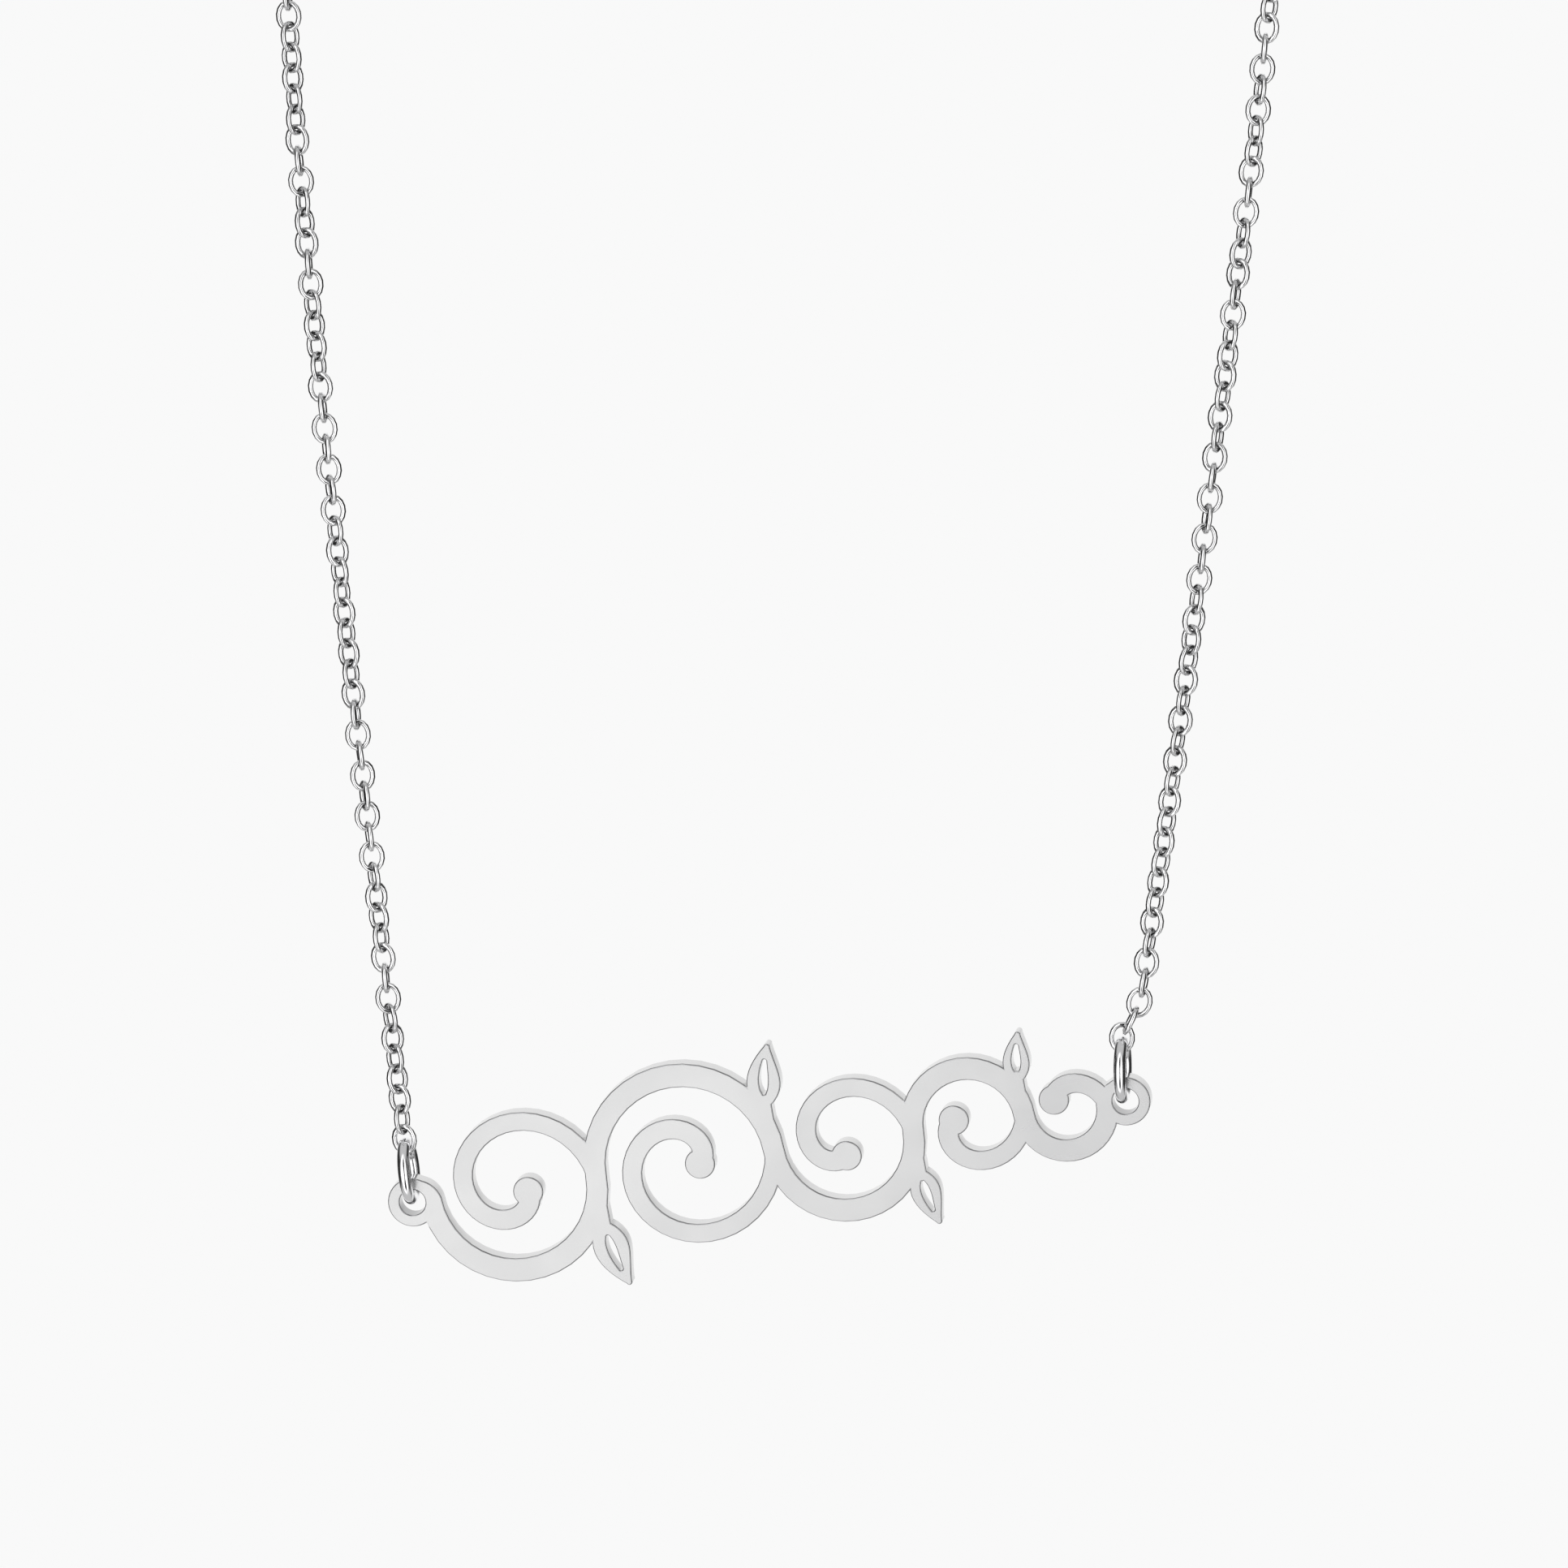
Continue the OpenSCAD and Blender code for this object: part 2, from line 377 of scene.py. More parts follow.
@dataclass(frozen=True)
class SilverFinish:
    """A silver surface: its tone where it is rubbed bright and where it is dull, its polish and its marks.

    A mesh attribute, where one is named, darkens what it marks: painted shade where parts touch, and wear.
    Painted shade may also grow slowly along a direction, between two distances in metres. The relief is the
    marks' depth in metres.
    """

    name: str
    bright: Colour
    dull: Colour
    roughness: tuple[float, float]
    line_scale: float = 900.0
    line_stretch: float = 0.06
    turn: float = 0.0
    relief: float = 0.000002
    relief_strength: float = 0.3
    shelter: str = ""
    haze_share: float = 0.25
    line_share: float = 0.4
    painted_shade_drift: float = 0.0
    drift_way: tuple[float, float, float] = (1.0, 0.0, -0.9)
    drift_span: tuple[float, float] = (0.092, 0.132)
    metallic: float = 1.0

    def material(self) -> bpy.types.Material:
        """Builds the material.

        Returns:
            A metal whose tone, roughness and fine relief vary over the surface.
        """
        material = bpy.data.materials.new(self.name)
        material.use_nodes = True
        material.node_tree.nodes.clear()
        g = Graph(material.node_tree)
        turn = math.radians(self.turn)
        drawn = {"Line Scale": self.line_scale, "Line Stretch": self.line_stretch, "Turn": turn}
        marks = g.add("Group", drawn, node_tree=PolishMarks().group())
        darkening = g.add("Group", node_tree=Tarnish().group())
        # A named mesh attribute adds painted shade where parts touch, and some wear.
        if self.shelter:
            shelter = g.add("Attribute", attribute_name=self.shelter)
            g.tree.links.new(shelter.outputs["Fac"], darkening.inputs["Shelter"])
        haze = g.math("MULTIPLY", marks.outputs["Haze"], self.haze_share)
        dulling_and_painted_shade = g.math("ADD", darkening.outputs["Darkening"], haze)
        # Painted shade that grows along one direction, in place of light that falls off.
        if self.painted_shade_drift:
            dulling_and_painted_shade = g.math("ADD", dulling_and_painted_shade, self.paint_shade_drift(g))
        dulling_and_painted_shade = g.math("MINIMUM", dulling_and_painted_shade, 1.0)
        tone = g.blend(dulling_and_painted_shade, self.bright, self.dull)
        low, high = self.roughness
        worn = g.math("MULTIPLY", dulling_and_painted_shade, 1.0 - self.line_share)
        spread = g.math("MULTIPLY_ADD", marks.outputs["Lines"], self.line_share, worn)
        rough = g.math("MULTIPLY_ADD", spread, high - low, low)
        height = marks.outputs["Height"]
        relief = {"Height": height, "Strength": self.relief_strength, "Distance": self.relief}
        normal = g.add("Bump", relief).outputs[0]
        inputs = {"Base Color": tone, "Roughness": rough, "Normal": normal, "Metallic": self.metallic}
        shader = g.add("BsdfPrincipled", inputs)
        sink = g.add("OutputMaterial")
        g.tree.links.new(shader.outputs[0], sink.inputs[0])
        return material

    def paint_shade_drift(self, g: Graph) -> bpy.types.NodeSocket:
        """Adds painted shade that grows slowly over the surface, on the plate darker to the viewer's right
        and below.

        Args:
            g: the material's graph.

        Returns:
            How much painted shade darkens each place.
        """
        place = g.add("TexCoord").outputs["Object"]
        across = g.remap(g.dot(place, Vector(self.drift_way)), *self.drift_span)
        return g.math("MULTIPLY", across, self.painted_shade_drift)


# The plate is polished along its rise in front, and across it behind
ALONG = -10.0
ACROSS = 80.0
PLATE_FACE = SilverFinish(
    name="plate_face",
    bright=(0.61, 0.61, 0.61),
    dull=(0.46, 0.46, 0.465),
    roughness=(0.22, 0.3),
    turn=ALONG,
    relief_strength=0.15,
    # Painted shade, growing darker to the viewer's right and below.
    painted_shade_drift=0.7,
)
# The rims' darker silver is painted shade: dark outlines along the eased rims and shade inside the eyelets.
PLATE_RIM_SHADE = SilverFinish(
    name="plate_rim_painted_shade",
    bright=(0.39, 0.39, 0.395),
    dull=(0.315, 0.315, 0.32),
    roughness=(0.12, 0.18),
    turn=ALONG,
)
PLATE_WALL = SilverFinish(
    name="plate_wall",
    bright=(0.66, 0.66, 0.66),
    dull=(0.56, 0.56, 0.565),
    roughness=(0.16, 0.24),
    turn=ALONG,
)
PLATE_BACK = SilverFinish(
    name="plate_back",
    bright=(0.84, 0.84, 0.84),
    dull=(0.74, 0.74, 0.745),
    roughness=(0.5, 0.62),
    turn=ACROSS,
    relief_strength=0.5,
    metallic=0.5,
)
RING_WIRE = SilverFinish(
    name="ring_wire",
    bright=(0.9, 0.9, 0.91),
    dull=(0.76, 0.76, 0.77),
    roughness=(0.12, 0.2),
    line_scale=700.0,
    line_stretch=0.4,
)
# The chain's dark tone is painted shade where the links touch, with a little wear from link to link.
CHAIN_WIRE = SilverFinish(
    name="chain_wire",
    bright=(0.81, 0.81, 0.815),
    dull=(0.34, 0.34, 0.345),
    roughness=(0.04, 0.18),
    line_stretch=0.5,
    shelter="shelter",
)

# The plate's finishes in the order of its material slots
PLATE_FINISHES = (PLATE_FACE, PLATE_RIM_SHADE, PLATE_WALL, PLATE_BACK)


# The camera


@dataclass
class PhotoCamera:
    """The camera at the photograph's viewing angle, with a long lens and no shift.

    The target stands a little to the left of the frame's middle and below it. Lengths are in metres, and the
    sensor's width is in millimetres.
    """

    azimuth: float = 7.5
    elevation: float = 13.5
    distance: float = 0.8
    frame_width: float = 0.0773
    target: Vector = Vector((0.0003, -0.056, -0.114))
    target_right: float = -0.000744
    target_up: float = -0.018128
    sensor_width: float = 36.0
    clip: tuple[float, float] = (0.01, 20.0)

    def build(self) -> bpy.types.Object:
        """Adds the camera and makes it the scene's.

        Returns:
            The camera object.
        """
        a, e = math.radians(self.azimuth), math.radians(self.elevation)
        back = Vector((math.sin(a) * math.cos(e), -math.cos(a) * math.cos(e), math.sin(e)))
        right = Vector((math.cos(a), math.sin(a), 0.0))
        up = back.cross(right)
        aim = self.target - self.target_right * right - self.target_up * up
        data = bpy.data.cameras.new("photo_camera")
        data.sensor_width = self.sensor_width
        data.lens = self.sensor_width * self.distance / self.frame_width
        data.clip_start, data.clip_end = self.clip
        camera = bpy.data.objects.new("photo_camera", data)
        bpy.context.scene.collection.objects.link(camera)
        turn = Matrix((right, up, back)).transposed().to_4x4()
        camera.matrix_world = Matrix.Translation(aim + back * self.distance) @ turn
        bpy.context.scene.camera = camera
        log.info("camera: azimuth %.1f, elevation %.1f", self.azimuth, self.elevation)
        return camera


# The studio


@dataclass(frozen=True)
class Strip:
    """A tall soft strip that the silver mirrors, wider towards its top and foot.

    Its bearing is measured from the front. Its brightness is added to what is behind it, so a strip below
    zero is a dark one.
    """

    bearing: float
    half_width: float
    brightness: float
    softness: float = 0.4
    flare: float = 2.2
    flare_span: tuple[float, float] = (0.15, 0.6)
    facing_span: tuple[float, float] = (0.3, 0.7)

    def light(
        self, g: Graph, way: bpy.types.NodeSocket, steepness: bpy.types.NodeSocket
    ) -> bpy.types.NodeSocket:
        """Adds the nodes that paint the strip.

        Args:
            g: the world's graph.
            way: the direction that is looked in.
            steepness: how far it points up or down, from 0 to 1.

        Returns:
            The light that the direction finds in the strip.
        """
        a = math.radians(self.bearing)
        facing, across = Vector((math.sin(a), -math.cos(a), 0.0)), Vector((math.cos(a), math.sin(a), 0.0))
        flare = g.remap(steepness, *self.flare_span, 1.0, self.flare)
        off = g.math("DIVIDE", g.math("ABSOLUTE", g.dot(way, across)), flare)
        edge = math.sin(math.radians(self.half_width))
        inner, outer = edge * (1.0 - self.softness), edge * (1.0 + self.softness)
        inside = g.remap(off, inner, outer, self.brightness, 0.0)
        return g.math("MULTIPLY", inside, g.remap(g.dot(way, facing), *self.facing_span))


@dataclass
class Studio:
    """A pale floor under an even sky, with soft cards in front and behind that the silver mirrors.

    The cards face the bearing that turn gives, and card_height draws them out upwards, from round at 0 to
    endless at 1. Overhead is the light from steeply above and below.
    """

    backdrop: float = 0.947
    floor_tone: float = 0.9
    floor_radius: float = 3.0
    floor_height: float = -0.35
    floor_sides: int = 96
    strength: float = 1.9
    turn: float = 6.0
    card_height: float = 0.8
    overhead: float = 0.3
    overhead_span: tuple[float, float] = (0.38, 0.8)
    overhead_blend: float = 0.07
    darkest: float = 0.01
    strip: Strip = Strip(bearing=15.0, half_width=6.5, brightness=-1.1)

    # What silver mirrors: a place, from 0 on the side away from the photograph's camera to 1 on the camera's
    # side, and the tone there
    cards: ClassVar[tuple[tuple[float, float], ...]] = (
        (0.0, 0.54), (0.035, 0.52), (0.075, 0.16), (0.15, 0.01), (0.62, 0.004), (0.71, 0.1), (0.785, 0.4),
        (0.845, 0.78), (0.89, 1.2), (0.93, 1.2), (0.955, 0.72), (1.0, 0.68),
    )

    def build(self) -> None:
        """Builds the world and the floor."""
        self.sky()
        self.floor()

    def sky(self) -> None:
        """Lights the scene evenly, shows a flat backdrop to the camera, and gives reflections their cards."""
        world = bpy.data.worlds.new("soft_studio")
        bpy.context.scene.world = world
        world.use_nodes = True
        world.cycles.sampling_method = "NONE"
        world.node_tree.nodes.clear()
        g = Graph(world.node_tree)
        way = g.add("TexCoord").outputs["Generated"]
        turn = math.radians(self.turn)
        ahead = g.dot(way, Vector((math.sin(turn), -math.cos(turn), 0.0)))
        steepness = g.math("ABSOLUTE", g.dot(way, UP))
        level = g.math("MULTIPLY_ADD", g.math("MULTIPLY", steepness, steepness), -self.card_height, 1.0)
        ahead = g.math("DIVIDE", ahead, g.math("SQRT", level))
        light = g.ramp(g.math("MULTIPLY_ADD", ahead, 0.5, 0.5), self.cards)
        steep = g.remap(steepness, *self.overhead_span, 0.0, self.overhead)
        light = g.math("SMOOTH_MAX", light, steep, self.overhead_blend)
        light = g.math("ADD", light, self.strip.light(g, way, steepness))
        light = g.math("MULTIPLY", g.math("MAXIMUM", light, self.darkest), self.strength)
        mirrored, seen, spread = (
            g.add("Background", {"Color": WHITE, "Strength": strength}).outputs[0]
            for strength in (light, self.backdrop, self.backdrop / self.floor_tone)
        )
        ray = g.add("LightPath")
        unseen = g.add("MixShader", {0: ray.outputs["Is Glossy Ray"], 1: spread, 2: mirrored}).outputs[0]
        last = g.add("MixShader", {0: ray.outputs["Is Camera Ray"], 1: unseen, 2: seen}).outputs[0]
        sink = g.add("OutputWorld")
        g.tree.links.new(last, sink.inputs[0])

    def floor(self) -> bpy.types.Object:
        """Adds the floor, a matt disc that the silver doesn't mirror, so that wires keep their dark lines.

        Returns:
            The floor.
        """
        bpy.ops.mesh.primitive_circle_add(
            vertices=self.floor_sides,
            radius=self.floor_radius,
            fill_type="NGON",
            location=(0.0, 0.0, self.floor_height),
        )
        floor = newest("floor")
        floor.visible_glossy = False
        material = bpy.data.materials.new("pale_floor")
        material.use_nodes = True
        shader = material.node_tree.nodes["Principled BSDF"]
        shader.inputs["Base Color"].default_value = (self.floor_tone,) * 3 + (1.0,)
        shader.inputs["Roughness"].default_value = 1.0
        shader.inputs["Specular IOR Level"].default_value = 0.0
        floor.data.materials.append(material)
        return floor


# The plate and the line it hangs on


@dataclass
class Hanging:
    """Where the plate and its two rings hang, in millimetres, as the CAD source has them."""

    hole_spacing: float = 36.0
    rise: float = 10.2
    sheet: float = 1.0
    hole_r: float = 0.65
    middle: Vector = Vector((0.3, -56.0, -113.9))
    ring_r: float = 1.4
    wire_r: float = 0.3
    left_lean: float = 7.5
    right_lean: float = 1.5
    fit_gap: float = 0.12
    level_share: float = 0.35

    def lean(self, side: Side) -> float:
        """Returns a ring's lean towards the viewer's left, in radians."""
        return math.radians(self.left_lean if side is Side.LEFT else self.right_lean)

    def hole_centre(self, side: Side) -> Vector:
        """Returns the middle of an eyelet's hole."""
        rise = math.radians(self.rise)
        along = Vector((math.cos(rise), 0.0, math.sin(rise)))
        return self.middle + side.value * self.hole_spacing / 2 * along

    def ring_up(self, side: Side) -> Vector:
        """Returns the direction from a ring's seat in the plate to its chain."""
        return Vector((-math.sin(self.lean(side)), 0.0, math.cos(self.lean(side))))

    def ring_centre(self, side: Side) -> Vector:
        """Works out where a ring hangs in its eyelet, which it crosses off centre where it leans.

        Args:
            side: the ring's end of the plate.

        Returns:
            The middle of the ring.
        """
        climb = self.ring_r - math.sqrt(self.ring_r**2 - self.sheet**2 / 4)
        seat_height = self.hole_r - self.wire_r - climb - self.fit_gap
        rise = math.radians(self.rise)
        off = rise - self.lean(side)
        u = side.value * self.hole_spacing / 2 + self.level_share * self.ring_r * math.sin(off)
        v = seat_height + self.ring_r * math.cos(off)
        return self.middle + Vector(
            (u * math.cos(rise) - v * math.sin(rise), 0.0, u * math.sin(rise) + v * math.cos(rise))
        )


@dataclass
class Nameplate:
    """The pierced plate: the CAD sheet with eased rims in painted shade, a satin front, bright walls and a
    matt back.
    """

    hang: Hanging
    rim: float = 0.062
    rim_steps: int = 2
    merge: float = 0.0005
    dissolve: float = 0.5
    smooth: float = 50.0
    flat_from: float = 0.9
    eyelet_reach: float = 1.1

    def build(self) -> bpy.types.Object:
        """Copies the sheet, eases its rims and dresses it.

        Returns:
            The finished plate.
        """
        plate = self.copy_of_sheet()
        self.ease_rims(plate)
        only(plate)
        bpy.ops.object.shade_smooth_by_angle(angle=math.radians(self.smooth))
        flatten = plate.modifiers.new("flat_faces", "WEIGHTED_NORMAL")
        flatten.keep_sharp = True
        bpy.ops.object.modifier_apply(modifier=flatten.name)
        settle(plate)
        seat(plate, Body.PLATE, Slot.PLATE, "nameplate")
        return plate

    def copy_of_sheet(self) -> bpy.types.Object:
        """Copies the CAD node, with its triangles merged into whole faces and a finish on each.

        Returns:
            The copy, in millimetres.
        """
        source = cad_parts["nameplate"]
        plate = bpy.data.objects.new("leaf_scroll_plate", source.data.copy())
        plate.data.name = plate.name
        bpy.context.scene.collection.objects.link(plate)
        plate.data.transform(Matrix.Scale(1 / MM, 4))
        plate.data.materials.clear()
        for finish in PLATE_FINISHES:
            plate.data.materials.append(finish.material())
        edit(plate)
        bpy.ops.mesh.select_all(action="SELECT")
        bpy.ops.mesh.remove_doubles(threshold=self.merge)
        bpy.ops.mesh.dissolve_limited(angle_limit=math.radians(self.dissolve))
        leave_edit()
        for face in plate.data.polygons:
            face.material_index = PLATE_FINISHES.index(self.finish_of(face))
        return plate

    def finish_of(self, face: bpy.types.MeshPolygon) -> SilverFinish:
        """Chooses the finish of a face by its normal and place.

        Args:
            face: a face of the sheet in millimetres.

        Returns:
            The front's or back's finish, or on a wall the rims' painted shade inside an eyelet and else the
            walls' own.
        """
        if abs(face.normal.y) > self.flat_from:
            return PLATE_FACE if face.normal.y < 0.0 else PLATE_BACK
        holes = [self.hang.hole_centre(side) for side in Side]
        off = min(math.hypot(face.center.x - hole.x, face.center.z - hole.z) for hole in holes)
        return PLATE_RIM_SHADE if off < self.eyelet_reach * self.hang.hole_r else PLATE_WALL

    def ease_rims(self, plate: bpy.types.Object) -> None:
        """Bevels the rims where the sheet's two faces meet its cut walls.

        Args:
            plate: the plate in millimetres.
        """
        edit(plate, "EDGE")
        pick(plate, "edges", self.rims(plate.data))
        bpy.ops.mesh.bevel(
            offset=self.rim,
            segments=self.rim_steps,
            profile=0.5,
            affect="EDGES",
            clamp_overlap=False,
            # The bevel's faces take the rims' darker silver, a painted dark outline.
            material=PLATE_FINISHES.index(PLATE_RIM_SHADE),
        )
        leave_edit()

    def rims(self, mesh: bpy.types.Mesh) -> set[int]:
        """Finds the edges between a face of the sheet and a wall.

        Args:
            mesh: the plate's mesh, whose faces look along Y.

        Returns:
            The indices of those edges.
        """
        flats: dict[tuple[int, int], set[bool]] = {}
        for face in mesh.polygons:
            flat = abs(face.normal.y) > self.flat_from
            for key in face.edge_keys:
                flats.setdefault(key, set()).add(flat)
        return {edge.index for edge in mesh.edges if len(flats[tuple(sorted(edge.vertices))]) == 2}


@dataclass
class JumpRing:
    """A ring of round wire, sawn through once and pressed shut, with a hairline seam behind."""

    side: Side
    hang: Hanging
    around: int = 72
    wire_sides: int = 20
    seam: float = 0.02
    seam_bearing: float = 205.0
    smooth: float = 40.0

    def build(self, finish: bpy.types.Material) -> bpy.types.Object:
        """Spins the wire into a ring and hangs it in its eyelet.

        Args:
            finish: the ring's material.

        Returns:
            The finished ring.
        """
        gap = self.seam / self.hang.ring_r
        bpy.ops.mesh.primitive_circle_add(
            vertices=self.wire_sides,
            radius=self.hang.wire_r,
            fill_type="NGON",
            location=(self.hang.ring_r, 0.0, 0.0),
            rotation=(math.pi / 2, 0.0, 0.0),
        )
        ring = newest(f"jump_ring_{self.side.word}_wire")
        edit(ring)
        bpy.ops.mesh.select_all(action="SELECT")
        bpy.ops.mesh.spin(steps=self.around, angle=2 * math.pi - gap, center=(0.0, 0.0, 0.0), axis=UP)
        leave_edit()
        face_outwards(ring)
        only(ring)
        bpy.ops.object.shade_smooth_by_angle(angle=math.radians(self.smooth))
        ring.data.materials.append(finish)
        settle(ring, self.place())
        seat(ring, Body.NECKLACE, Slot.RING, f"jump_ring_{self.side.word}")
        return ring

    def place(self) -> Matrix:
        """Works out how the ring hangs: its hole faces the viewer's left and right, and its seam is behind.

        Returns:
            The ring's turn and place in millimetres.
        """
        up = self.hang.ring_up(self.side)
        turn = Matrix((up, BACK, up.cross(BACK))).transposed().to_4x4()
        spin = Matrix.Rotation(math.radians(self.seam_bearing), 4, "Z")
        return Matrix.Translation(self.hang.ring_centre(self.side)) @ turn @ spin


@dataclass
class Link:
    """One oval link of round wire, in millimetres, measured to the middle of its wire."""

    half_length: float = 0.67
    half_width: float = 0.52
    wire_r: float = 0.14
    around: int = 16
    wire_sides: int = 6
    merge: float = 0.001
    shade_from: float = 0.35
    shade_fade: float = 0.15
    shade_depth: float = 0.1
    shade_least: float = 0.3

    def build(self) -> bpy.types.Object:
        """Spins a ring of wire and draws it out to an oval.

        Returns:
            The link, standing along Y and facing Z.
        """
        bpy.ops.mesh.primitive_circle_add(
            vertices=self.wire_sides,
            radius=self.wire_r,
            location=(self.half_width, 0.0, 0.0),
            rotation=(math.pi / 2, 0.0, 0.0),
        )
        link = newest("link")
        bpy.ops.object.transform_apply(location=True, rotation=True, scale=True)
        edit(link)
        bpy.ops.mesh.select_all(action="SELECT")
        bpy.ops.mesh.spin(steps=self.around, angle=2 * math.pi, center=(0.0, 0.0, 0.0), axis=UP)
        leave_edit()
        link.rotation_euler.z = math.pi / self.around
        bpy.ops.object.transform_apply(rotation=True)
        face_outwards(link, self.merge)
        self.draw_out(link)
        only(link)
        bpy.ops.object.shade_smooth()
        self.paint_contact_shade(link)
        return link

    def draw_out(self, link: bpy.types.Object) -> None:
        """Moves each turn of the ring along the link, so that the wire keeps its thickness.

        No turn stands at the link's very end, so it ends in a short straight stretch for its neighbour.

        Args:
            link: the round link.
        """
        step = 2 * math.pi / self.around
        turns: dict[int, set[int]] = {}
        for vertex in link.data.vertices:
            turn = math.floor(math.atan2(vertex.co.y, vertex.co.x) / step)
            turns.setdefault(turn, set()).add(vertex.index)
        edit(link)
        for turn, wanted in turns.items():
            pick(link, "vertices", wanted)
            reach = (self.half_length - self.half_width) * math.sin((turn + 0.5) * step)
            bpy.ops.transform.translate(value=(0.0, reach, 0.0))
        leave_edit()

    def paint_contact_shade(self, link: bpy.types.Object) -> None:
        """Paints shade on the inner side of both ends, where the neighbours rest against the link.

        Args:
            link: the oval link.
        """
        # Painted shade where the neighbouring links touch, from 0 to 1.
        shelter = link.data.attributes.new("shelter", "FLOAT", "POINT")
        for vertex in link.data.vertices:
            x, y = vertex.co.xy
            inner = 1.0 - math.hypot(x / self.half_width, y / self.half_length)
            end = max(0.0, abs(y) - self.shade_from) / self.shade_fade
            side = max(0.0, inner / self.shade_depth + self.shade_least)
            shelter.data[vertex.index].value = min(1.0, end) * min(1.0, side)


@dataclass
class Clasp:
    """The plain closed hoop at the nape with a soldered eye on each side, in millimetres."""

    hoop_r: float = 2.35
    hoop_wire: float = 0.45
    eye_r: float = 0.775
    eye_wire: float = 0.225
    eye_x: float = 3.025
    nape_y: float = 48.0
    hoop_steps: tuple[int, int] = (96, 32)
    eye_steps: tuple[int, int] = (56, 24)
    grain: float = 0.1
    softening: float = 0.5
    softenings: int = 3

    def build(self, finish: bpy.types.Material) -> bpy.types.Object:
        """Runs the hoop and eyes together with solder and dresses them.

        Args:
            finish: the clasp's material.

        Returns:
            The finished clasp.
        """
        rings = [self.ring(0.0, self.hoop_r, self.hoop_wire, *self.hoop_steps)]
        for side in Side:
            rings.append(self.ring(side.value * self.eye_x, self.eye_r, self.eye_wire, *self.eye_steps))
        clasp = join(rings, "clasp_hoop_and_eyes")
        melt = clasp.modifiers.new("solder", "REMESH")
        melt.mode, melt.voxel_size = "VOXEL", self.grain
        soften = clasp.modifiers.new("soften", "SMOOTH")
        soften.factor, soften.iterations = self.softening, self.softenings
        for modifier in (melt.name, soften.name):
            bpy.ops.object.modifier_apply(modifier=modifier)
        bpy.ops.object.shade_smooth()
        clasp.data.materials.clear()
        clasp.data.materials.append(finish)
        settle(clasp)
        seat(clasp, Body.NECKLACE, Slot.RING, "clasp")
        return clasp

    def ring(self, x: float, middle_r: float, wire_r: float, around: int, sides: int) -> bpy.types.Object:
        """Adds one ring of the clasp, facing back.

        Args:
            x: its middle's place to the viewer's right.
            middle_r: its radius to the middle of the wire.
            wire_r: the wire's radius.
            around: the steps round the ring.
            sides: the steps round the wire.

        Returns:
            The ring.
        """
        bpy.ops.mesh.primitive_torus_add(
            location=(x, self.nape_y, 0.0),
            rotation=(math.pi / 2, 0.0, 0.0),
            major_segments=around,
            minor_segments=sides,
            major_radius=middle_r,
            minor_radius=wire_r,
        )
        ring = newest("clasp_ring")
        bpy.ops.object.transform_apply(location=True, rotation=True, scale=True)
        return ring


